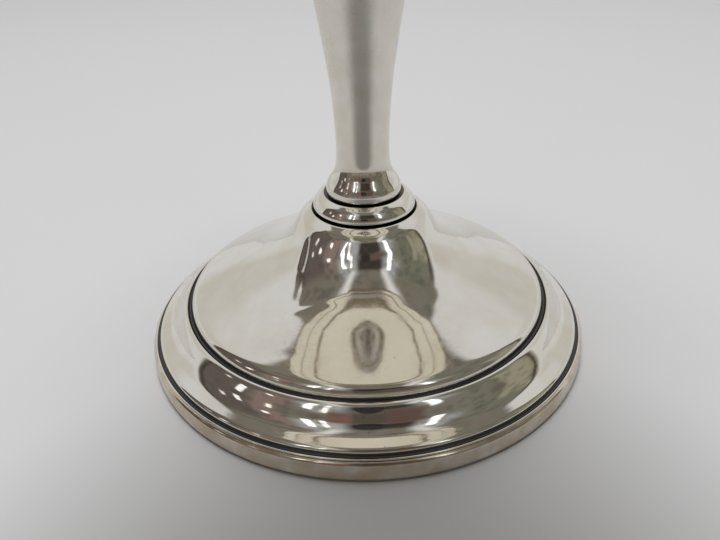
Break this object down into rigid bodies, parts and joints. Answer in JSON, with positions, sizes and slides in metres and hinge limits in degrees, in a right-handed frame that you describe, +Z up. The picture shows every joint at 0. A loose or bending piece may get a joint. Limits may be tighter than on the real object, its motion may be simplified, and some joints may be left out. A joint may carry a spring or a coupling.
{
  "type": "candlestick",
  "caption": "Weighted silver table candlestick: round dished foot, tapering stem, urn-shaped cup and a lift-out nozzle with a drip pan.",
  "frame": {"origin": "centre of the underside, on the surface the candlestick stands on", "axes": "+Z up along the stem's axis, out of the candle socket; +X to the right and +Y away from the viewer of the picture"},
  "size_m": [0.108, 0.108, 0.2286],
  "materials": {
    "silver": "hand-polished silver, tarnished dark in the grooves",
    "felt": "green baize",
    "brass": "plain sheet",
    "steel": "plain turned steel",
    "plaster": "cast plaster"
  },
  "bodies": {
    "candlestick": {"felt_pad": "felt", "base_plate": "brass", "foot_rim": "silver", "foot_shell": "silver", "base_weight": "plaster", "lower_collar": "silver", "stem_shell": "silver", "stem_filling": "plaster", "shoulder_ring": "silver", "neck_spool": "silver", "cup_shell": "silver", "cup_rim": "silver", "cup_liner": "brass", "tie_rod": "steel", "rod_washer": "steel", "rod_nut": "steel", "cup_washer": "steel", "cup_nut": "steel"},
    "nozzle": {"nozzle_sleeve": "silver", "drip_pan": "silver", "pan_wire": "silver"}
  },
  "joints": [
    {"name": "nozzle_lift", "type": "slide", "parent": "candlestick", "child": "nozzle", "axis": [0, 0, 1], "range_m": [0, 0.03]}
  ]
}
